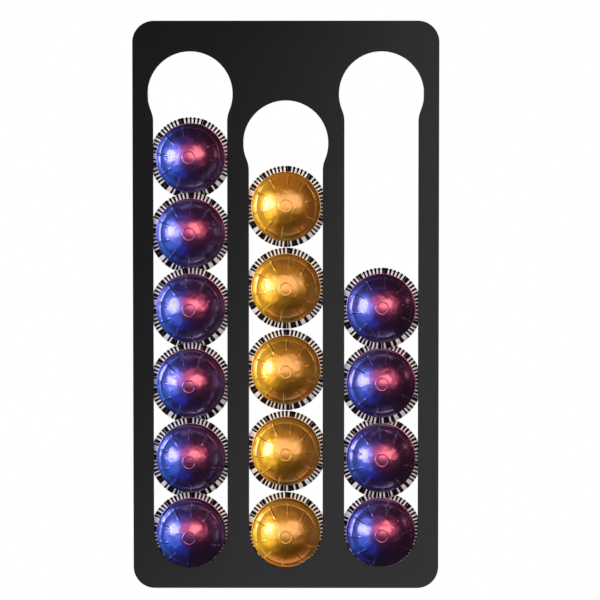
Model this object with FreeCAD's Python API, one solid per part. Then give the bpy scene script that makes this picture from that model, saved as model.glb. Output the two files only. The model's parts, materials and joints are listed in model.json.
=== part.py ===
import FreeCAD, Part
import math
import os
from FreeCAD import Vector

# A wall-mounted capsule holder, in millimetres. The front faces -Y and up is +Z. The origin is
# midway between the two holes that take the heads of the wall screws, on the back plane of the
# hangers and rails. The wall touches the pads, one pad's thickness behind that plane.

# Capsule: a drawn cup with a flange at its open back, curled over at the edge
flange_radius = 30.5
wall_radius = 25.5
sheet_thickness = 0.3
rim_bead_radius = 0.6
root_fillet = 0.5
dome_height = 28.0
wall_top_height = 9.0
wall_draft = 0.6
shoulder_width = 2.5
shoulder_rise = 3.0
crease_width = 0.5
crease_rise = 0.3
lid_thickness = 0.2
coffee_gap = 0.3

# Raised ribs round the shoulder of the cup, and a plain raised ring at its crown
rib_count = 10
rib_width = 0.9
rib_height = 0.35
rib_root = 0.15
rib_start_radius = 14.8
rib_length = 9.2
crown_ring_radius = 4.6
crown_ring_width = 0.8

# How the capsules stand in the three columns
outer_capacity = 6
middle_capacity = 5
right_column_load = 4
shingle_gap = 0.3
stack_gap = 0.3
channel_seat_gap = 0.4
outer_free_run = 47.4
middle_free_run = 47.2

# How far each capsule is turned on its own axis, from the bottom of its column upwards
turns = {
    "left": (14.0, 18.0, 31.0, 24.0, 15.0, 30.0),
    "middle": (13.0, 6.0, 15.0, 10.0, 12.0),
    "right": (5.0, 21.0, 7.0, 10.0),
}

# Front panel and its three keyhole slots
panel_thickness = 2.0
panel_corner_radius = 16.0
panel_edge_round = 0.3
mouth_clearance = 1.2
channel_clearance = 2.1
throat_radius = 20.0

# Rails that space the panel off the wall and guide the flanges
rail_depth = 5.0
divider_width = 8.0
side_rail_width = 9.4
flange_side_clearance = 1.2
flange_front_gap = 0.8
edge_inset = 2.0
butt_gap = 0.2
sill_height = 8.8
seat_clearance = 0.3
seat_lip = 5.7
top_rail_gap = 2.3

# Keyhole hangers in the top rail, for round-head wall screws
hanger_thickness = 1.5
hanger_width = 40.0
hanger_corner_radius = 2.0
hanger_fit_gap = 0.2
wall_screw_head_radius = 3.5
wall_screw_shank_radius = 1.75
head_clearance = 0.5
neck_clearance = 0.25
pocket_clearance = 1.1
hang_drop = 6.0
entry_margin = 2.3
neck_margin = 4.2

# Countersunk screws that hold the hangers
hanger_screw_radius = 1.1
hanger_screw_head_radius = 2.3
hanger_screw_head_depth = 1.2
hanger_screw_length = 4.2
hanger_screw_edge = 4.5
screw_socket_width = 1.65
screw_socket_depth = 0.7
hanger_hole_clearance = 0.1
pilot_clearance = 0.05
pilot_end_gap = 0.2

# Threaded studs welded to the back of the panel, and the nuts on them
stud_radius = 1.25
stud_base_radius = 2.0
stud_base_height = 0.6
stud_hole_clearance = 0.15
stud_end = 0.4
nut_across_flats = 5.0
nut_thickness = 1.6
nut_thread_clearance = 0.05
nut_pocket_clearance = 0.25
nut_recess = 0.4
studs_per_long_rail = 4
stud_end_distance = 24.0
sill_stud_inset = 8.0

# Soft round pads between the rails and the wall
pad_radius = 4.0
pad_thickness = 1.0
pad_end_distance = 7.5
pads_per_side = 3

# How far a cutting shape runs past the faces it cuts through
overshoot = 1.0

# Worked out from the sizes above
origin = Vector(0, 0, 0)
x_axis = Vector(1, 0, 0)
y_axis = Vector(0, 1, 0)
z_axis = Vector(0, 0, 1)

rim_height = 2 * rim_bead_radius
rim_centre_radius = flange_radius - rim_bead_radius
mouth_radius = flange_radius + mouth_clearance
channel_half = wall_radius + channel_clearance

column_pitch = 2 * (flange_radius + flange_side_clearance) + divider_width
side_rail_inner = column_pitch + flange_radius + flange_side_clearance
panel_half_width = side_rail_inner + side_rail_width + edge_inset

shingle_pitch = flange_radius + wall_radius + stack_gap
touching_pitch = 2 * flange_radius + stack_gap
shingle_step = rim_height + lid_thickness + shingle_gap
tilt = math.degrees(math.asin(shingle_step / shingle_pitch))
tilt_swing = flange_radius * math.sin(math.radians(tilt))

entry_radius = wall_screw_head_radius + head_clearance
neck_radius = wall_screw_shank_radius + neck_clearance
pocket_radius = wall_screw_head_radius + pocket_clearance
top_rail_height = entry_margin + entry_radius + hang_drop + neck_radius + neck_margin

# Heights above the panel's lower edge
seat_floor = edge_inset + sill_height
first_seat = seat_floor + seat_clearance + flange_radius
channel_end = first_seat - wall_radius - channel_seat_gap
outer_mouth = first_seat + (outer_capacity - 1) * shingle_pitch + outer_free_run
middle_mouth = first_seat + (middle_capacity - 1) * touching_pitch + middle_free_run
top_rail_bottom = outer_mouth + mouth_radius + top_rail_gap
top_rail_top = top_rail_bottom + top_rail_height
panel_height = top_rail_top + edge_inset
sill_top = seat_floor + seat_lip
entry_height = top_rail_bottom + entry_margin + entry_radius
neck_height = entry_height + hang_drop

# Depths, counted from the back plane of the rails
rail_back = 0.0
panel_back = rail_back - rail_depth
panel_front = panel_back - panel_thickness
flange_back = panel_back + flange_front_gap + tilt_swing + rim_height

nut_pocket_depth = nut_recess + stud_end + nut_thickness
stud_length = rail_depth - nut_recess

# Column name: centre, mouth height, spacing of its capsules, capsules in it, lean
columns = {
    "left": (-column_pitch, outer_mouth, shingle_pitch, outer_capacity, tilt),
    "middle": (0.0, middle_mouth, touching_pitch, middle_capacity, 0.0),
    "right": (column_pitch, outer_mouth, shingle_pitch, right_column_load, -tilt),
}


def level(height):
    """The z of a height above the panel's lower edge."""
    return height - entry_height


def save(shape, name):
    shape.exportStep(f"parts/{name}.step")
    solids = len(shape.Solids)
    print(f"{name}: {solids} solid(s), {shape.Volume:.1f} mm3, valid {shape.isValid()}")


def block(x0, x1, y0, y1, z0, z1):
    return Part.makeBox(x1 - x0, y1 - y0, z1 - z0, Vector(x0, y0, z0))


def peg(radius, x, y_from, y_to, z):
    """A cylinder along Y from one depth to another."""
    return Part.makeCylinder(radius, y_to - y_from, Vector(x, y_from, z), y_axis)


def rounded_plate(half_width, z0, z1, corner, y0, y1):
    """A plate facing Y with four rounded corners, centred on x = 0."""
    plate = block(-half_width, half_width, y0, y1, z0, z1)
    corners = [e for e in plate.Edges if abs(e.tangentAt(e.FirstParameter).y) > 0.99]
    return plate.makeFillet(corner, corners)


def obround(radius, x, z0, z1, y0, y1):
    """A slot with round ends, whose end centres lie at z0 and z1."""
    middle = block(x - radius, x + radius, y0, y1, z0, z1)
    return middle.fuse([peg(radius, x, y0, y1, z0), peg(radius, x, y0, y1, z1)]).removeSplitter()


def one_solid(shapes):
    return shapes[0].fuse(shapes[1:]).removeSplitter()


def outline_face(edges):
    return Part.Face(Part.Wire(Part.__sortEdges__(edges)))


# Front panel


def keyhole(x, mouth_z, end_z, y0, y1):
    """A round mouth, rounded throat corners and a channel with a semicircular lower end."""
    reach = math.sqrt((mouth_radius + throat_radius) ** 2 - (channel_half + throat_radius) ** 2)
    share = mouth_radius / (mouth_radius + throat_radius)
    throat_z = mouth_z - reach
    join_x = share * (channel_half + throat_radius)
    join_z = mouth_z - share * reach
    end_centre_z = end_z + channel_half

    def at(side, dx, z):
        return Vector(x + side * dx, y0, z)

    lean = math.atan2(reach, channel_half + throat_radius) / 2
    edges = [
        Part.Arc(at(-1, join_x, join_z), at(1, 0, mouth_z + mouth_radius),
                 at(1, join_x, join_z)).toShape(),
        Part.Arc(at(-1, channel_half, end_centre_z), at(1, 0, end_z),
                 at(1, channel_half, end_centre_z)).toShape(),
    ]
    for side in (-1, 1):
        middle = at(side, channel_half + throat_radius * (1 - math.cos(lean)),
                    throat_z + throat_radius * math.sin(lean))
        edges.append(Part.Arc(at(side, join_x, join_z), middle,
                              at(side, channel_half, throat_z)).toShape())
        edges.append(Part.makeLine(at(side, channel_half, throat_z),
                                   at(side, channel_half, end_centre_z)))
    return outline_face(edges).extrude(Vector(0, y1 - y0, 0))


def front_panel():
    plate = rounded_plate(panel_half_width, level(0), level(panel_height),
                          panel_corner_radius, panel_front, panel_back)
    slots = [keyhole(x, level(mouth), level(channel_end), panel_front - overshoot,
                     panel_back + overshoot) for x, mouth, *_ in columns.values()]
    plate = plate.cut(slots).removeSplitter()
    rims = [e for e in plate.Edges if e.BoundBox.YMax < panel_front + 0.01]
    return plate.makeFillet(panel_edge_round, rims)


# Rails


def rail_outline():
    """The room that the rails may fill behind the panel, clear of its edge all round."""
    return rounded_plate(panel_half_width - edge_inset, level(edge_inset), level(top_rail_top),
                         panel_corner_radius - edge_inset, panel_back, rail_back)


def spread(first, last, count):
    return [first + (last - first) * k / (count - 1) for k in range(count)]


side_rail_x = side_rail_inner + side_rail_width / 2
divider_x = column_pitch / 2
top_rail_half = side_rail_inner - butt_gap
hanger_height = (top_rail_bottom + top_rail_top) / 2

side_stud_heights = spread(edge_inset + stud_end_distance, top_rail_top - stud_end_distance,
                           studs_per_long_rail)
divider_stud_heights = spread(sill_top + stud_end_distance, top_rail_bottom - stud_end_distance,
                              studs_per_long_rail)
stud_places = {
    "left_side_rail": [(-side_rail_x, h) for h in side_stud_heights],
    "right_side_rail": [(side_rail_x, h) for h in side_stud_heights],
    "left_divider_rail": [(-divider_x, h) for h in divider_stud_heights],
    "right_divider_rail": [(divider_x, h) for h in divider_stud_heights],
    "top_rail": [(x, hanger_height) for x in (-divider_x, 0.0, divider_x)],
    "bottom_rail": [(side * x, (edge_inset + sill_top) / 2) for side in (-1, 1)
                    for x in (divider_x, top_rail_half - sill_stud_inset)],
}


def drilled(rail, name):
    """A rail with its stud holes, each with a relief for the stud's base and a pocket for its nut."""
    tools = []
    hole = stud_radius + stud_hole_clearance
    relief = stud_base_radius + stud_hole_clearance
    pocket = nut_across_flats / math.sqrt(3) + nut_pocket_clearance
    for x, height in stud_places[name]:
        z = level(height)
        tools.append(peg(hole, x, panel_back - overshoot, rail_back + overshoot, z))
        tools.append(peg(relief, x, panel_back - overshoot,
                         panel_back + stud_base_height + stud_hole_clearance, z))
        tools.append(peg(pocket, x, rail_back - nut_pocket_depth, rail_back + overshoot, z))
    return rail.cut(tools)


def side_rail(side):
    x0, x1 = sorted((side * side_rail_inner, side * (side_rail_inner + side_rail_width)))
    rail = block(x0, x1, panel_back, rail_back, level(edge_inset), level(top_rail_top))
    return rail.common(rail_outline())


def divider_rail(side):
    x0, x1 = side * divider_x - divider_width / 2, side * divider_x + divider_width / 2
    return block(x0, x1, panel_back, rail_back, level(sill_top + butt_gap),
                 level(top_rail_bottom - butt_gap))


def top_rail():
    rail = block(-top_rail_half, top_rail_half, panel_back, rail_back,
                 level(top_rail_bottom), level(top_rail_top)).common(rail_outline())
    half = hanger_width / 2 + hanger_fit_gap
    pilot = hanger_screw_radius + pilot_clearance
    tools = []
    for side in (-1, 1):
        x = side * column_pitch
        tools.append(block(x - half, x + half, rail_back - hanger_thickness,
                           rail_back + overshoot, level(top_rail_bottom) - overshoot,
                           level(top_rail_top) + overshoot))
        tools.append(obround(pocket_radius, x, level(entry_height), level(neck_height),
                             panel_back - overshoot, rail_back + overshoot))
        for screw_x, screw_height in hanger_screw_places(side):
            tools.append(peg(pilot, screw_x, rail_back - hanger_screw_length - pilot_end_gap,
                             rail_back + overshoot, level(screw_height)))
    return rail.cut(tools)


def bottom_rail():
    rail = block(-top_rail_half, top_rail_half, panel_back, rail_back,
                 level(edge_inset), level(sill_top)).common(rail_outline())
    seat = flange_radius + seat_clearance
    seats = [peg(seat, x, panel_back - overshoot, rail_back + overshoot, level(first_seat))
             for x, *_ in columns.values()]
    return rail.cut(seats)


# Hangers


def hanger_screw_places(side):
    reach = hanger_width / 2 - hanger_screw_edge
    return [(side * column_pitch + way * reach, hanger_height) for way in (-1, 1)]


def hanger_plate(side):
    x = side * column_pitch
    y0, y1 = rail_back - hanger_thickness, rail_back
    plate = rounded_plate(hanger_width / 2, level(top_rail_bottom), level(top_rail_top),
                          hanger_corner_radius, y0, y1)
    plate.translate(Vector(x, 0, 0))
    front, back = y0 - overshoot, y1 + overshoot
    tools = [peg(entry_radius, x, front, back, level(entry_height)),
             obround(neck_radius, x, level(entry_height), level(neck_height), front, back)]
    for screw_x, height in hanger_screw_places(side):
        tools.append(countersunk(screw_x, height, hanger_hole_clearance))
    return plate.cut(tools)


def countersunk(x, height, clearance):
    """A countersunk screw whose head lies in the back face of a hanger, grown by a clearance."""
    z = level(height)
    head = Part.makeCone(hanger_screw_radius + clearance, hanger_screw_head_radius + clearance,
                         hanger_screw_head_depth, Vector(x, rail_back - hanger_screw_head_depth, z),
                         y_axis)
    shank = peg(hanger_screw_radius + clearance, x, rail_back - hanger_screw_length,
                rail_back - hanger_screw_head_depth, z)
    return one_solid([head, shank])


def hanger_screws():
    socket_floor = rail_back - screw_socket_depth
    screws = []
    for side in (-1, 1):
        for x, height in hanger_screw_places(side):
            socket = hex_prism(screw_socket_width, screw_socket_depth, x, socket_floor,
                               level(height))
            screws.append(countersunk(x, height, 0.0).cut(socket))
    return Part.makeCompound(screws)


# Studs, nuts and pads


def hex_prism(across_flats, length, x, y, z):
    radius = across_flats / math.sqrt(3)
    corners = [Vector(x + radius * math.cos(math.radians(60 * k)), y,
                      z + radius * math.sin(math.radians(60 * k))) for k in range(7)]
    return Part.Face(Part.makePolygon(corners)).extrude(Vector(0, length, 0))


def all_studs():
    return [place for places in stud_places.values() for place in places]


def panel_studs():
    studs = []
    for x, height in all_studs():
        z = level(height)
        base = peg(stud_base_radius, x, panel_back, panel_back + stud_base_height, z)
        shank = peg(stud_radius, x, panel_back, panel_back + stud_length, z)
        studs.append(one_solid([base, shank]))
    return Part.makeCompound(studs)


def rail_nuts():
    seat = rail_back - nut_pocket_depth
    nuts = []
    for x, height in all_studs():
        z = level(height)
        nut = hex_prism(nut_across_flats, nut_thickness, x, seat, z)
        bore = peg(stud_radius + nut_thread_clearance, x, seat - overshoot,
                   seat + nut_thickness + overshoot, z)
        nuts.append(nut.cut(bore))
    return Part.makeCompound(nuts)


def wall_pads():
    heights = spread(edge_inset + pad_end_distance, top_rail_top - pad_end_distance,
                     pads_per_side)
    pads = [peg(pad_radius, side * side_rail_x, rail_back, rail_back + pad_thickness, level(h))
            for side in (-1, 1) for h in heights]
    return Part.makeCompound(pads)


# Capsule, built on its own axis: r outwards, h from the flange's back face towards the crown


def profile_point(r, h):
    return Vector(r, 0, h)


def dome_edges(inset, foot):
    """The cup's wall, shoulder and cap as one run of edges, moved inwards by an inset."""
    wall_top_r = wall_radius - wall_draft
    crease_r = wall_top_r - shoulder_width
    crease_h = wall_top_height + shoulder_rise
    cap_r = crease_r - crease_width
    cap_h = crease_h + crease_rise
    rise = dome_height - cap_h
    ball = (cap_r ** 2 + rise ** 2) / (2 * rise)
    ball_h = dome_height - ball
    inner_ball = ball - inset
    start_r = cap_r - inset
    start_h = ball_h + math.sqrt(inner_ball ** 2 - start_r ** 2)
    half = math.asin(start_r / inner_ball) / 2
    corner = math.radians(45)
    foot_at = profile_point(wall_radius - inset, foot)
    wall_top = profile_point(wall_top_r - inset, wall_top_height - inset / 2)
    shoulder_end = profile_point(crease_r - inset, crease_h - inset)
    middle = profile_point(
        crease_r - inset + (wall_top.x - shoulder_end.x) * math.sin(corner),
        wall_top.z + (shoulder_end.z - wall_top.z) * math.cos(corner),
    )
    cap_start = profile_point(start_r, start_h)
    cap_middle = profile_point(inner_ball * math.sin(half), ball_h + inner_ball * math.cos(half))
    crown = profile_point(0, dome_height - inset)
    return [
        Part.makeLine(foot_at, wall_top),
        Part.Arc(wall_top, middle, shoulder_end).toShape(),
        Part.makeLine(shoulder_end, cap_start),
        Part.Arc(cap_start, cap_middle, crown).toShape(),
    ]


def dome_solid(inset, foot):
    """The room inside the cup's outer surface, moved inwards by an inset and cut off at its foot."""
    edges = dome_edges(inset, foot)
    edges.append(Part.makeLine(profile_point(0, dome_height - inset), profile_point(0, foot)))
    edges.append(Part.makeLine(profile_point(0, foot), profile_point(wall_radius - inset, foot)))
    return outline_face(edges).revolve(origin, z_axis, 360)


def flange_ring():
    """The flat flange with its curled edge and the fillet at its root."""
    side = math.sqrt(rim_bead_radius ** 2 - (rim_bead_radius - sheet_thickness) ** 2)
    start = profile_point(rim_centre_radius - side, sheet_thickness)
    crest = profile_point(rim_centre_radius, rim_height)
    edge = profile_point(flange_radius, rim_bead_radius)
    under = profile_point(rim_centre_radius, 0)
    slant = rim_bead_radius * math.sqrt(0.5)
    inner = wall_radius - sheet_thickness
    top = sheet_thickness + root_fillet
    root_out = profile_point(wall_radius + root_fillet, sheet_thickness)
    root_up = profile_point(wall_radius, top)
    root_middle = profile_point(wall_radius + root_fillet * (1 - math.sqrt(0.5)),
                                top - root_fillet * math.sqrt(0.5))
    bead_in = profile_point(rim_centre_radius - slant, rim_bead_radius + slant)
    bead_out = profile_point(rim_centre_radius + slant, rim_bead_radius + slant)
    bead_low = profile_point(rim_centre_radius + slant, rim_bead_radius - slant)
    edges = [
        Part.Arc(root_up, root_middle, root_out).toShape(),
        Part.makeLine(root_out, start),
        Part.Arc(start, bead_in, crest).toShape(),
        Part.Arc(crest, bead_out, edge).toShape(),
        Part.Arc(edge, bead_low, under).toShape(),
        Part.makeLine(under, profile_point(inner, 0)),
        Part.makeLine(profile_point(inner, 0), profile_point(inner, top)),
        Part.makeLine(profile_point(inner, top), root_up),
    ]
    return outline_face(edges).revolve(origin, z_axis, 360)


def raised_marks():
    """The ribs and the crown ring, cut from a skin that stands a little proud of the cup."""
    skin = dome_solid(-rib_height, 0.0).cut(dome_solid(rib_root, -overshoot))
    corner = Vector(rib_start_radius, -rib_width / 2, wall_top_height)
    bar = Part.makeBox(rib_length, rib_width, dome_height, corner)
    marks = []
    for k in range(rib_count):
        turned = bar.copy()
        turned.rotate(origin, z_axis, 360 * k / rib_count)
        marks.append(turned)
    foot = Vector(0, 0, dome_height / 2)
    ring = Part.makeCylinder(crown_ring_radius + crown_ring_width / 2, dome_height, foot)
    ring = ring.cut(Part.makeCylinder(crown_ring_radius - crown_ring_width / 2, dome_height, foot))
    return [skin.common(mark) for mark in marks + [ring]]


def capsule_cup():
    shell = dome_solid(0.0, 0.0).cut(dome_solid(sheet_thickness, -overshoot))
    return one_solid([shell, flange_ring()] + raised_marks())


def capsule_lid():
    radius = rim_centre_radius - rim_bead_radius
    return Part.makeCylinder(radius, lid_thickness, Vector(0, 0, -lid_thickness))


def capsule_coffee():
    return dome_solid(sheet_thickness + coffee_gap, coffee_gap)


def placed(shape, column, number):
    """A capsule piece in its place, counted from 1 at the bottom of the column."""
    x, _, pitch, _, lean = columns[column]
    here = shape.copy()
    here.rotate(origin, z_axis, turns[column][number - 1])
    here.rotate(origin, x_axis, 90 + lean)
    here.translate(Vector(x, flange_back, level(first_seat + (number - 1) * pitch)))
    return here


def report_columns():
    for name, (x, mouth, pitch, load, lean) in columns.items():
        top_seat = first_seat + (load - 1) * pitch
        print(f"{name}: x {x:.2f}, seat z {level(first_seat):.3f}, pitch {pitch:.3f}, "
              f"lean {lean:.4f}, lift {mouth - top_seat:.3f}, y {flange_back:.3f}, "
              f"mouth z {level(mouth):.3f}")
    print(f"hanging holes x {column_pitch:.3f}, panel z {level(0):.3f} to {level(panel_height):.3f}")


def main():
    os.makedirs("parts", exist_ok=True)
    save(front_panel(), "front_panel")
    save(drilled(side_rail(-1), "left_side_rail"), "left_side_rail")
    save(drilled(side_rail(1), "right_side_rail"), "right_side_rail")
    save(drilled(divider_rail(-1), "left_divider_rail"), "left_divider_rail")
    save(drilled(divider_rail(1), "right_divider_rail"), "right_divider_rail")
    save(drilled(top_rail(), "top_rail"), "top_rail")
    save(drilled(bottom_rail(), "bottom_rail"), "bottom_rail")
    save(hanger_plate(-1), "left_hanger_plate")
    save(hanger_plate(1), "right_hanger_plate")
    save(hanger_screws(), "hanger_screws")
    save(panel_studs(), "panel_studs")
    save(rail_nuts(), "rail_nuts")
    save(wall_pads(), "wall_pads")
    pieces = {"cup": capsule_cup(), "lid": capsule_lid(), "coffee": capsule_coffee()}
    for column, (_, _, _, load, _) in columns.items():
        for number in range(1, load + 1):
            for piece, shape in pieces.items():
                save(placed(shape, column, number), f"{column}_capsule_{number}_{piece}")
    report_columns()


main()
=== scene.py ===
import json
import math

import bmesh
import bpy
from mathutils import Matrix, Vector, noise as fractal_noise

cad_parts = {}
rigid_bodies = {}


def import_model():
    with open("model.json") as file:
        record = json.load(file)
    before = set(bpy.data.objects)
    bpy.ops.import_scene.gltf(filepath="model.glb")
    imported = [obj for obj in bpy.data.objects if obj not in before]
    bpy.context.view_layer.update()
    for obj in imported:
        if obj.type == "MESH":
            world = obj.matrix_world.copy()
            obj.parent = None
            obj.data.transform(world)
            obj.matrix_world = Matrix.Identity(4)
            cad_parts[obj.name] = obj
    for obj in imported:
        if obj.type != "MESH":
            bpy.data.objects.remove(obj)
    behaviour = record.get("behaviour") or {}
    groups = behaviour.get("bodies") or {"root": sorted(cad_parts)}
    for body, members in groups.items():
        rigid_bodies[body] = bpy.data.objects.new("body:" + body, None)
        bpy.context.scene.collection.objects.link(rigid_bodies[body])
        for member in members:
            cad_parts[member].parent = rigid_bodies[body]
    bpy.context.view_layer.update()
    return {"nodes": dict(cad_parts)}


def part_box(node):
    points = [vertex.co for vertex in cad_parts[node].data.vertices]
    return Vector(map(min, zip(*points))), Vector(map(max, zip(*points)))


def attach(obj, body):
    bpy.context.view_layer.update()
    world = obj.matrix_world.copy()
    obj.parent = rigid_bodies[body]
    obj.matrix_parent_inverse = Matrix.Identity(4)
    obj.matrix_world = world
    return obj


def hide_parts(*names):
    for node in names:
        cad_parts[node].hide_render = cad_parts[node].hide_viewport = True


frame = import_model()

MM = 0.001

# Capsule, in millimetres on its own axis: r outwards, h from the flange's back towards the crown
FLANGE_R = 30.5
SHEET = 0.3
BEAD_R = 0.6
BEAD_CENTRE_R = FLANGE_R - BEAD_R
WALL_FOOT_R = 25.5
WALL_TOP = (24.9, 9.0)
SHOULDER_MIDDLE = (23.74, 10.58)
SHOULDER_END = (22.4, 12.0)
CAP_R = 21.9
CAP_H = 12.3
CROWN_H = 28.0
ROOT_FILLET = 0.5
RIB_COUNT = 10
RIB_HALF = 0.65
RIB_HEIGHT = 0.62
RIB_FROM_R = 14.8
RIB_TO_R = 24.0
RING_R = 4.6
RING_HALF = 0.4
RING_HEIGHT = 0.26
# How the embossing sets in: along a rib's start, then inside and outside each of the other edges
RIB_START = 3.0
RIB_END = (0.6, 0.3)
RIB_SIDE = (0.25, 0.15)
RING_SIDE = (0.2, 0.15)
LID_R = 29.3
LID_THICK = 0.2
# The dome's arc: the radii it passes and the steps up to each, close at the ring and the ribs' ends
CAP_ARCS = ((3.9, 4), (5.3, 9), (14.3, 11), (15.3, 5), (CAP_R, 15))
# The lid's face: radius, height above its plane and steps up to there
LID_LINE = ((21.0, 0.0, 6), (21.4, 0.08, 2), (22.0, 0.08, 2), (22.4, 0.0, 2), (25.4, 0.0, 3),
            (25.8, 0.1, 2), (28.6, 0.1, 4), (29.0, 0.0, 2), (LID_R, 0.05, 1))
CUP_COLUMNS, LID_COLUMNS = 240, 144
# How far the cup's columns gather at the ribs, as a share of the way
GATHER = 0.72
# Soft dents in the foil: how deep, a limit that they come near and keep, how many to a millimetre,
# the heights and radii between which they set in, the noise's fall-off, step and octaves, and how
# far the next capsule's dents lie from it
DENT_DEPTH, DENT_LIMIT, DENT_RATE = 0.40, 0.15, 0.15
DENTS_FROM_H, DENTS_FULL_H = 2.0, 8.0
DENTS_FROM_R, DENTS_FULL_R = 5.5, 9.0
DENT_NOISE = (1.0, 2.0, 2)
DENT_SHIFT = (7.3, 3.1, 11.7)

# The printed ring: its reach in millimetres, its cells round the flange, the share left empty,
# and between which chances a bar grows from the narrowest to the widest share of its cell
BARS_FROM_R, BARS_TO_R = 25.6, 30.4
BAR_CELLS = 62.0
BARS_LEFT_OUT = 0.06
BAR_CHANCES, BAR_WIDTHS = (0.45, 0.95), (0.52, 1.0)
INK = (0.004, 0.004, 0.004, 1.0)

# How the columns stand: lean of their capsules in degrees, their turns, and the finish of the cups
LEAN = {"left": 1.7303, "middle": 0.0, "right": -1.7303}
TURNS = {
    "left": (14.0, 18.0, 31.0, 24.0, 15.0, 30.0),
    "middle": (13.0, 6.0, 15.0, 10.0, 12.0),
    "right": (5.0, 21.0, 7.0, 10.0),
}
FINISH = {"left": "blue", "middle": "gold", "right": "blue"}

# Lamps by what they light: name, azimuth, elevation, width, height, radiance, colour and, where it
# isn't the usual, distance and roll. Azimuth 0 is in front, -90 at the left and 180 behind.
NEUTRAL = (1.0, 0.99, 0.98)
LAMPS = {
    "rack": (
        ("front_box_rack", 23.8, -10.9, 1.72, 2.4, 0.70, NEUTRAL, 1.65, -21.0),
        ("top_left_rack", -35.0, 50.0, 0.8, 0.8, 0.5, NEUTRAL),
        ("rear_box", 152.0, 18.0, 2.4, 2.0, 0.9, NEUTRAL),
    ),
    "blue": (
        ("window_blue", -72.0, 2.0, 2.0, 2.8, 0.55, (0.08, 0.5, 1.0)),
        ("window_core_blue", -71.0, 9.0, 1.25, 0.8, 3.6, (0.52, 0.77, 0.86)),
        ("back_left_blue", -128.0, 0.0, 2.2, 2.4, 0.24, (0.05, 0.46, 1.0)),
        ("strip_blue", 8.0, 22.0, 3.2, 1.2, 0.85, (1.0, 0.23, 0.2)),
        ("strip_core_blue", 20.0, 17.0, 1.3, 0.75, 2.8, (1.0, 0.36, 0.14)),
        ("low_blue", -60.0, -52.0, 1.6, 1.0, 0.22, (0.02, 0.16, 1.0)),
        ("above_blue", -50.0, 62.0, 1.6, 1.0, 0.08, (0.05, 0.22, 1.0)),
        ("glint_blue", 118.0, 12.0, 0.3, 0.3, 1.0, (1.0, 0.4, 0.3)),
    ),
    "gold": (
        ("window_gold", -70.0, 0.0, 1.9, 2.9, 0.95, (1.0, 0.88, 0.14)),
        ("window_core_gold", -70.0, 9.0, 0.8, 0.8, 5.5, (0.95, 0.78, 1.7)),
        ("edge_gold", -122.0, 0.0, 2.8, 2.6, 0.55, (1.0, 0.86, 0.14)),
        ("strip_gold", 10.0, 20.0, 3.4, 1.6, 1.5, (1.0, 0.76, 1.0)),
        ("front_gold", -10.0, -10.0, 4.5, 4.0, 0.035, (1.0, 0.5, 0.06)),
        ("side_gold", 104.0, 0.0, 2.6, 2.8, 0.1, (1.0, 0.42, 0.15)),
        ("above_gold", 0.0, 108.0, 2.0, 2.0, 0.32, (1.0, 0.45, 0.1)),
        ("below_gold", 0.0, -116.0, 1.8, 1.8, 0.75, (1.0, 0.48, 0.25)),
    ),
}
KEY = ("key", -30.0, 38.0, 1.0, 1.0, 2.4, NEUTRAL)
LAMP_AIM = (0.0, -0.02, -0.2)
# World strengths: the dark room and the fill, and how far back a gloss ray points to see white
ROOM_DARK, FILL = 0.012, 0.85
WHITE_FROM = 0.92

# The floor's place and radius, and between which shares of the radius it fades
FLOOR_Y, FLOOR_Z, FLOOR_R = 0.4, -1.7, 3.0
FADE_FROM, FADE_TO = 0.3, 0.95

# Camera: place in metres, pitch down and yaw in degrees, focal length as pixels of the photo
EYE = (0.0157, -1.5677, -0.1375)
PITCH, YAW = 2.074, -0.187
FOCAL_PIXELS, PHOTO_PIXELS = 2086.9, 600.0
SENSOR = 36.0

# The part of a noise's range that its colours and roughness are spread over
NOISE_FROM, NOISE_TO = 0.3, 0.7


# Materials


def new_group(name, inputs, outputs):
    """A shader node group with float inputs, given as name and default, and named outputs."""
    group = bpy.data.node_groups.new(name, "ShaderNodeTree")
    for label, value in inputs:
        socket = group.interface.new_socket(label, in_out="INPUT", socket_type="NodeSocketFloat")
        socket.default_value = value
    for label in outputs:
        group.interface.new_socket(label, in_out="OUTPUT", socket_type="NodeSocketFloat")
    ends = group.nodes.new("NodeGroupInput"), group.nodes.new("NodeGroupOutput")
    return group, ends[0], ends[1]


def noise(nodes, links, vector, scale, detail, roughness=0.5):
    made = nodes.new("ShaderNodeTexNoise")
    made.inputs["Detail"].default_value = detail
    made.inputs["Roughness"].default_value = roughness
    links.new(vector, made.inputs["Vector"])
    links.new(scale, made.inputs["Scale"])
    return made.outputs["Fac"]


def map_range(nodes, links, value, low, high, to_low, to_high):
    made = nodes.new("ShaderNodeMapRange")
    made.interpolation_type = "SMOOTHSTEP"
    ends = {"From Min": low, "From Max": high, "To Min": to_low, "To Max": to_high}
    for label, number in ends.items():
        made.inputs[label].default_value = number
    links.new(value, made.inputs["Value"])
    return made.outputs["Result"]


def math_node(nodes, links, operation, first, second=None):
    made = nodes.new("ShaderNodeMath")
    made.operation = operation
    for socket, value in zip(made.inputs, (first, second)):
        if value is None:
            continue
        if isinstance(value, (int, float)):
            socket.default_value = value
        else:
            links.new(value, socket)
    return made.outputs[0]


def surface_group():
    """Broad patches and fine grain on object coordinates, shared by every finish."""
    group, start, end = new_group(
        "surface_grain", [("Patch Scale", 40.0), ("Grain Scale", 1500.0)], ["Patches", "Grain"])
    nodes, links = group.nodes, group.links
    place = nodes.new("ShaderNodeTexCoord").outputs["Object"]
    patches = noise(nodes, links, place, start.outputs["Patch Scale"], 3.0)
    grain = noise(nodes, links, place, start.outputs["Grain Scale"], 4.0, 0.6)
    links.new(patches, end.inputs["Patches"])
    links.new(grain, end.inputs["Grain"])
    return group


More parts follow.
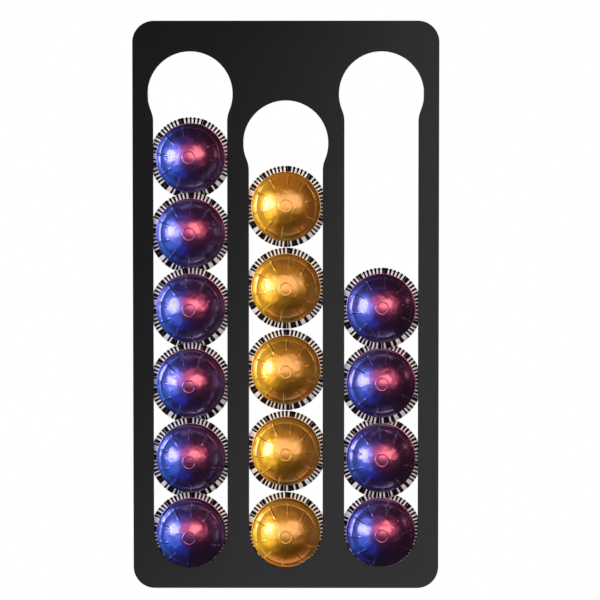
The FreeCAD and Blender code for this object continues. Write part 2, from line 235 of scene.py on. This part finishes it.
def scratch_group():
    """Fine lines drawn out along X, as brushing leaves on sheet metal."""
    group, start, end = new_group("brushed_lines", [("Line Scale", 900.0)], ["Lines"])
    nodes, links = group.nodes, group.links
    place = nodes.new("ShaderNodeTexCoord").outputs["Object"]
    mapping = nodes.new("ShaderNodeMapping")
    mapping.inputs["Scale"].default_value = (0.04, 1.0, 1.0)
    links.new(place, mapping.inputs["Vector"])
    lines = noise(nodes, links, mapping.outputs["Vector"], start.outputs["Line Scale"], 3.0, 0.7)
    links.new(lines, end.inputs["Lines"])
    return group


GRAIN = surface_group()
BRUSHED = scratch_group()


def finish(name, dark, light, roughness, metallic=0.0, patch_scale=40.0, grain_scale=1500.0,
           grain_depth=0.00002, grain_strength=0.2, spread=0.04, coat=0.0, coat_roughness=0.05,
           coat_ior=1.5, specular=0.5, brushed=False):
    """A finish whose colour runs between two tints in broad patches, with grain in its gloss."""
    material = bpy.data.materials.new(name)
    material.use_nodes = True
    nodes, links = material.node_tree.nodes, material.node_tree.links
    shader = nodes["Principled BSDF"]
    shader.inputs["Metallic"].default_value = metallic
    shader.inputs["Specular IOR Level"].default_value = specular
    shader.inputs["Coat Weight"].default_value = coat
    shader.inputs["Coat Roughness"].default_value = coat_roughness
    shader.inputs["Coat IOR"].default_value = coat_ior
    grain = nodes.new("ShaderNodeGroup")
    grain.node_tree = GRAIN
    grain.inputs["Patch Scale"].default_value = patch_scale
    grain.inputs["Grain Scale"].default_value = grain_scale
    tint = nodes.new("ShaderNodeMix")
    tint.data_type = "RGBA"
    tint.inputs["A"].default_value = (*dark, 1.0)
    tint.inputs["B"].default_value = (*light, 1.0)
    share = map_range(nodes, links, grain.outputs["Patches"], NOISE_FROM, NOISE_TO, 0.0, 1.0)
    links.new(share, tint.inputs["Factor"])
    links.new(tint.outputs["Result"], shader.inputs["Base Color"])
    texture = grain.outputs["Grain"]
    if brushed:
        lines = nodes.new("ShaderNodeGroup")
        lines.node_tree = BRUSHED
        texture = lines.outputs["Lines"]
    gloss = map_range(nodes, links, texture, NOISE_FROM, NOISE_TO,
                      roughness - spread, roughness + spread)
    links.new(gloss, shader.inputs["Roughness"])
    bump = nodes.new("ShaderNodeBump")
    bump.inputs["Strength"].default_value = grain_strength
    bump.inputs["Distance"].default_value = grain_depth
    links.new(texture, bump.inputs["Height"])
    links.new(bump.outputs["Normal"], shader.inputs["Normal"])
    return material


def printed_foil():
    """Pale foil with a ring of dark radial bars, narrow and wide by turns that follow no code."""
    material = finish("printed_flange", (0.90, 0.89, 0.87), (0.97, 0.96, 0.94), 0.45,
                      specular=0.1, patch_scale=300.0, grain_scale=3000.0)
    nodes, links = material.node_tree.nodes, material.node_tree.links
    shader = nodes["Principled BSDF"]
    foil = shader.inputs["Base Color"].links[0].from_socket
    ring = nodes.new("ShaderNodeUVMap")
    ring.uv_map = "ring"
    parts = nodes.new("ShaderNodeSeparateXYZ")
    links.new(ring.outputs["UV"], parts.inputs["Vector"])
    cells = math_node(nodes, links, "MULTIPLY", parts.outputs["X"], BAR_CELLS)
    cell = math_node(nodes, links, "FLOOR", cells)
    along = math_node(nodes, links, "FRACT", cells)
    chance = nodes.new("ShaderNodeTexWhiteNoise")
    chance.noise_dimensions = "1D"
    links.new(cell, chance.inputs["W"])
    width = map_range(nodes, links, chance.outputs["Value"], *BAR_CHANCES, *BAR_WIDTHS)
    printed = math_node(nodes, links, "GREATER_THAN", chance.outputs["Value"], BARS_LEFT_OUT)
    reach = math_node(nodes, links, "MULTIPLY", width, printed)
    inside = math_node(nodes, links, "LESS_THAN", along, reach)
    lower = math_node(nodes, links, "GREATER_THAN", parts.outputs["Y"], BARS_FROM_R / FLANGE_R)
    upper = math_node(nodes, links, "LESS_THAN", parts.outputs["Y"], BARS_TO_R / FLANGE_R)
    band = math_node(nodes, links, "MULTIPLY", lower, upper)
    ink = math_node(nodes, links, "MULTIPLY", inside, band)
    mixed = nodes.new("ShaderNodeMix")
    mixed.data_type = "RGBA"
    links.new(ink, mixed.inputs["Factor"])
    links.new(foil, mixed.inputs["A"])
    mixed.inputs["B"].default_value = INK
    links.new(mixed.outputs["Result"], shader.inputs["Base Color"])
    return material


PANEL = finish("satin_black_coat", (0.0070, 0.0070, 0.0082), (0.0086, 0.0086, 0.0100), 0.23,
               patch_scale=9.0, grain_scale=2600.0, grain_depth=0.00001, grain_strength=0.2)
RAILS = finish("moulded_black", (0.018, 0.018, 0.019), (0.026, 0.026, 0.028), 0.55,
               patch_scale=30.0, grain_scale=1800.0, grain_depth=0.00005, grain_strength=0.5)
ZINC = finish("brushed_zinc", (0.50, 0.51, 0.52), (0.62, 0.63, 0.64), 0.33, metallic=1.0,
              patch_scale=120.0, grain_depth=0.00002, grain_strength=0.3, spread=0.08, brushed=True)
FASTENER = finish("plated_fastener", (0.56, 0.55, 0.52), (0.68, 0.67, 0.63), 0.30, metallic=1.0,
                  patch_scale=400.0, grain_scale=4000.0, grain_depth=0.00001)
RUBBER = finish("soft_rubber", (0.020, 0.020, 0.020), (0.034, 0.034, 0.033), 0.80,
                patch_scale=250.0, grain_scale=2500.0, grain_depth=0.00006, grain_strength=0.6)
LACQUER = {
    "blue": finish("blue_lacquer", (0.48, 0.24, 0.84), (0.55, 0.27, 0.94), 0.37, metallic=1.0,
                   patch_scale=70.0, grain_scale=900.0, grain_depth=0.000004, grain_strength=0.1,
                   spread=0.015, coat=1.0, coat_roughness=0.20, coat_ior=1.9),
    "gold": finish("gold_lacquer", (0.92, 0.50, 0.030), (0.98, 0.55, 0.040), 0.46, metallic=1.0,
                   patch_scale=70.0, grain_scale=900.0, grain_depth=0.000004, grain_strength=0.1,
                   spread=0.015, coat=1.0, coat_roughness=0.30, coat_ior=1.8),
}
PRINT = printed_foil()
BARE = finish("bare_aluminium", (0.74, 0.73, 0.71), (0.82, 0.81, 0.79), 0.42, metallic=0.6,
              patch_scale=200.0, grain_scale=2200.0)
FOIL = finish("lid_foil", (0.70, 0.70, 0.69), (0.80, 0.80, 0.79), 0.36, metallic=1.0,
              patch_scale=90.0, grain_scale=700.0, grain_depth=0.00008, grain_strength=0.3)
COFFEE = finish("ground_coffee", (0.020, 0.009, 0.004), (0.075, 0.036, 0.016), 0.85,
                patch_scale=900.0, grain_scale=1400.0, grain_depth=0.0004, grain_strength=1.0)


def coat_node(name, material):
    mesh = frame["nodes"][name].data
    mesh.materials.clear()
    mesh.materials.append(material)


# What each lamp lights: the rack with the lids, the blue cups and the gold cups have their own
LIT = {name: bpy.data.collections.new(f"lit_{name}") for name in ("rack", "blue", "gold")}
# The only things that throw a shadow in the light of the cups' own lamps
IN_THE_WAY = bpy.data.collections.new("in_the_way")


# Pieces turned from a profile


def arc_centre(a, b, c):
    """The centre of the circle through three points of a profile."""
    (ax, ay), (bx, by), (cx, cy) = a, b, c
    d = 2 * (ax * (by - cy) + bx * (cy - ay) + cx * (ay - by))
    aa, bb, cc = ax * ax + ay * ay, bx * bx + by * by, cx * cx + cy * cy
    return ((aa * (by - cy) + bb * (cy - ay) + cc * (ay - by)) / d,
            (aa * (cx - bx) + bb * (ax - cx) + cc * (bx - ax)) / d)


class Profile:
    """A line drawn in the plane y = 0 as bmesh edges, to be turned about Z."""

    def __init__(self, r, h):
        self.mesh = bmesh.new()
        self.tip = self.mesh.verts.new((r, 0.0, h))

    def line(self, r, h, steps=1):
        start = self.tip.co.copy()
        for k in range(1, steps + 1):
            grown = bmesh.ops.extrude_vert_indiv(self.mesh, verts=[self.tip])
            self.tip = grown["verts"][0]
            self.tip.co = start.lerp(Vector((r, 0.0, h)), k / steps)
        return self

    def arc(self, centre, degrees, steps):
        """Turns the tip about a centre, counted from +r towards +h."""
        turned = bmesh.ops.spin(self.mesh, geom=[self.tip], cent=(centre[0], 0.0, centre[1]),
                                axis=(0.0, -1.0, 0.0), angle=math.radians(degrees), steps=steps)
        self.tip = [v for v in turned["geom_last"] if isinstance(v, bmesh.types.BMVert)][0]
        return self

    def turned(self, columns):
        """The profile spun a full turn, with its doubles merged and its faces pointing outwards."""
        geometry = self.mesh.verts[:] + self.mesh.edges[:]
        bmesh.ops.spin(self.mesh, geom=geometry, cent=(0, 0, 0), axis=(0, 0, 1),
                       angle=math.tau, steps=columns, use_merge=True)
        bmesh.ops.remove_doubles(self.mesh, verts=self.mesh.verts[:], dist=0.0005)
        bmesh.ops.dissolve_degenerate(self.mesh, edges=self.mesh.edges[:], dist=0.0001)
        bmesh.ops.recalc_face_normals(self.mesh, faces=self.mesh.faces[:])
        self.mesh.normal_update()
        return self.mesh


def angle_to(point, centre):
    return math.degrees(math.atan2(point[1] - centre[1], point[0] - centre[0]))


def dome_ball():
    """Radius of the ball that the dome is cut from, and the height of its centre."""
    rise = CROWN_H - CAP_H
    radius = (CAP_R ** 2 + rise ** 2) / (2 * rise)
    return radius, CROWN_H - radius


def cup_mesh():
    """The drawn cup with its curled rim, turned from one closed profile; emboss() raises its ribs
    and crown ring afterwards.
    """
    ball, ball_h = dome_ball()
    shape = Profile(0.0, CROWN_H)
    reached = 0.0
    for r, steps in CAP_ARCS:
        swept = math.degrees(math.asin(r / ball))
        shape.arc((0.0, ball_h), reached - swept, steps)
        reached = swept
    shape.line(*SHOULDER_END, 2)
    centre = arc_centre(SHOULDER_END, SHOULDER_MIDDLE, WALL_TOP)
    shape.arc(centre, angle_to(WALL_TOP, centre) - angle_to(SHOULDER_END, centre), 9)
    shape.line(WALL_FOOT_R, SHEET + ROOT_FILLET, 4)
    shape.arc((WALL_FOOT_R + ROOT_FILLET, SHEET + ROOT_FILLET), 90, 3)
    bead_side = math.sqrt(BEAD_R ** 2 - (BEAD_R - SHEET) ** 2)
    shape.line(BEAD_CENTRE_R - bead_side, SHEET, 4)
    bead = (BEAD_CENTRE_R, BEAD_R)
    over = 270 + 180 + angle_to((BEAD_CENTRE_R - bead_side, SHEET), bead)
    shape.arc(bead, -over, 12)
    shape.line(WALL_FOOT_R - SHEET, 0.0)
    shape.line(WALL_TOP[0] - SHEET, WALL_TOP[1], 2)
    shape.line(SHOULDER_END[0] - SHEET, SHOULDER_END[1] - SHEET, 2)
    inner = ball - SHEET
    start = math.degrees(math.asin((CAP_R - SHEET) / inner))
    shape.line(CAP_R - SHEET, ball_h + math.sqrt(inner ** 2 - (CAP_R - SHEET) ** 2))
    shape.arc((0.0, ball_h), start, 10)
    shape.tip.co.x = 0.0
    return shape.turned(CUP_COLUMNS)


def smooth_step(value, low, high):
    t = min(max((value - low) / (high - low), 0.0), 1.0)
    return t * t * (3 - 2 * t)


def edge_step(value, edge, reach):
    """A smooth step across an edge, from its inner to its outer reach."""
    return smooth_step(value, edge - reach[0], edge + reach[1])


def emboss(mesh):
    """Gathers the columns of the mesh towards the ribs, then raises the ribs and the crown ring."""
    for v in mesh.verts:
        r = math.hypot(v.co.x, v.co.y)
        if r > 0.01:
            a = math.atan2(v.co.y, v.co.x)
            a -= GATHER * math.sin(RIB_COUNT * a) / RIB_COUNT
            v.co.x, v.co.y = r * math.cos(a), r * math.sin(a)
    mesh.normal_update()
    raised = []
    for v in mesh.verts:
        if v.normal.z < 0.1 or v.co.z < WALL_TOP[1]:
            continue
        r = math.hypot(v.co.x, v.co.y)
        off = math.remainder(math.atan2(v.co.y, v.co.x), math.tau / RIB_COUNT)
        side = abs(r * math.sin(off))
        rib = smooth_step(r, RIB_FROM_R, RIB_FROM_R + RIB_START) * (
            1 - edge_step(r, RIB_TO_R, RIB_END)) * (1 - edge_step(side, RIB_HALF, RIB_SIDE))
        ring = 1 - edge_step(abs(r - RING_R), RING_HALF, RING_SIDE)
        height = max(RIB_HEIGHT * rib, RING_HEIGHT * ring)
        if height > 0:
            raised.append((v, v.co + v.normal * height))
    for v, place in raised:
        v.co = place
    mesh.normal_update()


def dented(mesh, seed):
    """A copy of the cup whose outside has soft dents of its own, shallower than the sheet."""
    copy = mesh.copy()
    centre = Vector((0.0, 0.0, dome_ball()[1]))
    shift = Vector(DENT_SHIFT) * seed
    for v in copy.verts:
        outwards = (v.co - centre).normalized()
        if v.normal.dot(outwards) <= 0:
            continue
        share = smooth_step(v.co.z, DENTS_FROM_H, DENTS_FULL_H) * smooth_step(
            math.hypot(v.co.x, v.co.y), DENTS_FROM_R, DENTS_FULL_R)
        if share > 0:
            level = DENT_DEPTH * fractal_noise.fractal(v.co * DENT_RATE + shift, *DENT_NOISE)
            v.co += outwards * DENT_LIMIT * math.tanh(level / DENT_LIMIT) * share
    copy.normal_update()
    return copy


def ring_map(mesh):
    """A UV map whose U runs round the axis and whose V is the distance from it."""
    layer = mesh.loops.layers.uv.new("ring")
    for face in mesh.faces:
        middle = face.calc_center_median()
        about = math.atan2(middle.y, middle.x)
        for loop in face.loops:
            place = loop.vert.co
            r = math.hypot(place.x, place.y)
            a = about if r < 0.01 else math.atan2(place.y, place.x)
            a = about + math.remainder(a - about, math.tau)
            loop[layer].uv = (a / math.tau + 0.5, r / FLANGE_R)


def cup_zone(face):
    """0 for the lacquered dome, 1 for the printed front of the flange and 2 for bare metal."""
    middle = face.calc_center_median()
    r = math.hypot(middle.x, middle.y)
    outward = face.normal.x * middle.x + face.normal.y * middle.y
    on_bead = r > BEAD_CENTRE_R - BEAD_R
    if middle.z < SHEET + 0.01 and face.normal.z > 0.5 and r > WALL_FOOT_R:
        return 1
    if on_bead and face.normal.z > 0.05:
        return 1
    if on_bead or face.normal.z < -0.5:
        return 2
    if outward < 0 or face.normal.z < -0.01:
        return 2
    return 0


def lid_mesh():
    """The foil lid with two pressed grooves, closed as a thin disc."""
    shape = Profile(0.0, -LID_THICK)
    for r, pressed, steps in LID_LINE:
        shape.line(r, -LID_THICK + pressed, steps)
    shape.line(LID_R, 0.0).line(0.0, 0.0, 3)
    return shape.turned(LID_COLUMNS)


def stand(mesh, name, column, turn, materials):
    """Puts a turned piece on its capsule's axis, as one object at the origin."""
    lowest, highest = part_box(f"{name}_lid")
    lean = math.radians(LEAN[column])
    crown = Vector((0.0, -math.cos(lean), -math.sin(lean)))
    flange = (lowest + highest) / 2 + crown * (LID_THICK / 2 * MM)
    place = (Matrix.Translation(flange) @ Matrix.Rotation(math.pi / 2 + lean, 4, "X")
             @ Matrix.Rotation(math.radians(turn), 4, "Z") @ Matrix.Scale(MM, 4))
    data = bpy.data.meshes.new(name)
    mesh.to_mesh(data)
    data.transform(place)
    for material in materials:
        data.materials.append(material)
    data.shade_smooth()
    piece = bpy.data.objects.new(name, data)
    bpy.context.scene.collection.objects.link(piece)
    return piece


def capsules():
    cup = cup_mesh()
    for face in cup.faces:
        face.material_index = cup_zone(face)
    emboss(cup)
    ring_map(cup)
    lid = lid_mesh()
    for place, (column, turns) in enumerate(TURNS.items()):
        colour = FINISH[column]
        for number, turn in enumerate(turns, 1):
            name = f"{column}_capsule_{number}"
            own = dented(cup, 10 * place + number)
            piece = stand(own, name, column, turn, (LACQUER[colour], PRINT, BARE))
            own.free()
            piece.name = piece.data.name = f"{name}_drawn_cup"
            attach(piece, name)
            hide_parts(f"{name}_cup")
            LIT[colour].objects.link(piece)
            foil = stand(lid, name, column, turn, (FOIL,))
            foil.name = foil.data.name = f"{name}_pressed_lid"
            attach(foil, name)
            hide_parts(f"{name}_lid")
            LIT["rack"].objects.link(foil)
            coat_node(f"{name}_coffee", COFFEE)
    cup.free()
    lid.free()


def rack():
    finishes = {
        PANEL: ("front_panel",),
        RAILS: ("left_side_rail", "right_side_rail", "left_divider_rail", "right_divider_rail",
                "top_rail", "bottom_rail"),
        ZINC: ("left_hanger_plate", "right_hanger_plate"),
        FASTENER: ("hanger_screws", "panel_studs", "rail_nuts"),
        RUBBER: ("wall_pads",),
    }
    for material, names in finishes.items():
        for name in names:
            coat_node(name, material)
            LIT["rack"].objects.link(frame["nodes"][name])


# Studio


def studio_world():
    """White to the camera and behind the holder, a dark room to gloss, and an even fill."""
    world = bpy.data.worlds.new("studio")
    bpy.context.scene.world = world
    world.use_nodes = True
    nodes, links = world.node_tree.nodes, world.node_tree.links
    background = nodes["Background"]
    background.inputs["Color"].default_value = (1.0, 1.0, 1.0, 1.0)
    rays = nodes.new("ShaderNodeLightPath")
    parts = nodes.new("ShaderNodeSeparateXYZ")
    links.new(nodes.new("ShaderNodeTexCoord").outputs["Generated"], parts.inputs["Vector"])
    room = map_range(nodes, links, parts.outputs["Y"], WHITE_FROM, 1.0, ROOM_DARK, 1.0)
    gloss = math_node(nodes, links, "MULTIPLY", rays.outputs["Is Glossy Ray"], room)
    seen = math_node(nodes, links, "MAXIMUM", rays.outputs["Is Camera Ray"],
                     rays.outputs["Is Transmission Ray"])
    fill = math_node(nodes, links, "MULTIPLY", rays.outputs["Is Diffuse Ray"], FILL)
    strength = math_node(nodes, links, "ADD", math_node(nodes, links, "ADD", gloss, seen), fill)
    links.new(strength, background.inputs["Strength"])


def soft_light(lit, name, azimuth, elevation, width, height, radiance, colour, distance=1.5,
               roll=0.0):
    """A softbox that only gloss shows, facing the middle of the holder."""
    a, e = math.radians(azimuth), math.radians(elevation)
    away = Vector((math.sin(a) * math.cos(e), -math.cos(a) * math.cos(e), math.sin(e)))
    data = bpy.data.lights.new(name, "AREA")
    data.shape = "RECTANGLE"
    data.size, data.size_y = width, height
    data.energy = radiance * math.pi * width * height
    data.color = colour
    lamp = bpy.data.objects.new(name, data)
    lamp.location = Vector(LAMP_AIM) + away * distance
    facing = (-away).to_track_quat("-Z", "Y").to_matrix()
    lamp.rotation_euler = (facing @ Matrix.Rotation(math.radians(roll), 3, "Z")).to_euler()
    lamp.visible_camera = lamp.visible_diffuse = False
    if lit is not None:
        lamp.light_linking.receiver_collection = LIT[lit]
    if lit in ("blue", "gold"):
        lamp.light_linking.blocker_collection = IN_THE_WAY
    bpy.context.scene.collection.objects.link(lamp)
    return lamp


def studio():
    """The world, the lamps of each finish and one key lamp for what isn't gloss."""
    # Gloss sees the lamps, the room and the lids, but not the other pieces
    for piece in bpy.data.objects:
        if piece.type == "MESH" and not piece.name.endswith("pressed_lid"):
            piece.visible_glossy = False
    studio_world()
    for lit, lamps in LAMPS.items():
        for lamp in lamps:
            soft_light(lit, *lamp)
    key = soft_light(None, *KEY)
    key.visible_diffuse, key.visible_glossy = True, False


def studio_floor():
    """A pale disc well below the holder, which fades to the white round it."""
    material = finish("pale_floor", (0.74, 0.74, 0.73), (0.80, 0.80, 0.79), 0.7,
                      patch_scale=3.0, grain_scale=300.0)
    nodes, links = material.node_tree.nodes, material.node_tree.links
    centre = nodes.new("ShaderNodeMapping")
    centre.inputs["Location"].default_value = (0.0, -FLOOR_Y, -FLOOR_Z)
    links.new(nodes.new("ShaderNodeTexCoord").outputs["Object"], centre.inputs["Vector"])
    distance = nodes.new("ShaderNodeVectorMath")
    distance.operation = "LENGTH"
    links.new(centre.outputs["Vector"], distance.inputs[0])
    fade = map_range(nodes, links, distance.outputs["Value"],
                     FADE_FROM * FLOOR_R, FADE_TO * FLOOR_R, 0.0, 1.0)
    rays = nodes.new("ShaderNodeLightPath")
    white = nodes.new("ShaderNodeEmission")
    mixed = nodes.new("ShaderNodeMixShader")
    links.new(math_node(nodes, links, "MULTIPLY", fade, rays.outputs["Is Camera Ray"]),
              mixed.inputs["Fac"])
    links.new(nodes["Principled BSDF"].outputs["BSDF"], mixed.inputs[1])
    links.new(white.outputs["Emission"], mixed.inputs[2])
    links.new(mixed.outputs["Shader"], nodes["Material Output"].inputs["Surface"])
    mesh = bmesh.new()
    bmesh.ops.create_circle(mesh, cap_ends=True, segments=96, radius=FLOOR_R)
    bmesh.ops.translate(mesh, verts=mesh.verts[:], vec=(0.0, FLOOR_Y, FLOOR_Z))
    data = bpy.data.meshes.new("floor")
    mesh.to_mesh(data)
    mesh.free()
    data.materials.append(material)
    floor = bpy.data.objects.new("floor", data)
    bpy.context.scene.collection.objects.link(floor)
    floor.visible_glossy = False
    IN_THE_WAY.objects.link(floor)


def camera():
    """Stands a little above the middle of the holder and looks slightly down, as the photo does."""
    data = bpy.data.cameras.new("camera")
    data.sensor_width = SENSOR
    data.lens = SENSOR * FOCAL_PIXELS / PHOTO_PIXELS
    data.clip_start, data.clip_end = 0.05, 50.0
    eye = bpy.data.objects.new("camera", data)
    eye.location = EYE
    eye.rotation_euler = (math.pi / 2 - math.radians(PITCH), 0.0, -math.radians(YAW))
    bpy.context.scene.collection.objects.link(eye)
    bpy.context.scene.camera = eye


rack()
capsules()
studio()
studio_floor()
camera()
bpy.context.scene.view_settings.view_transform = "Standard"
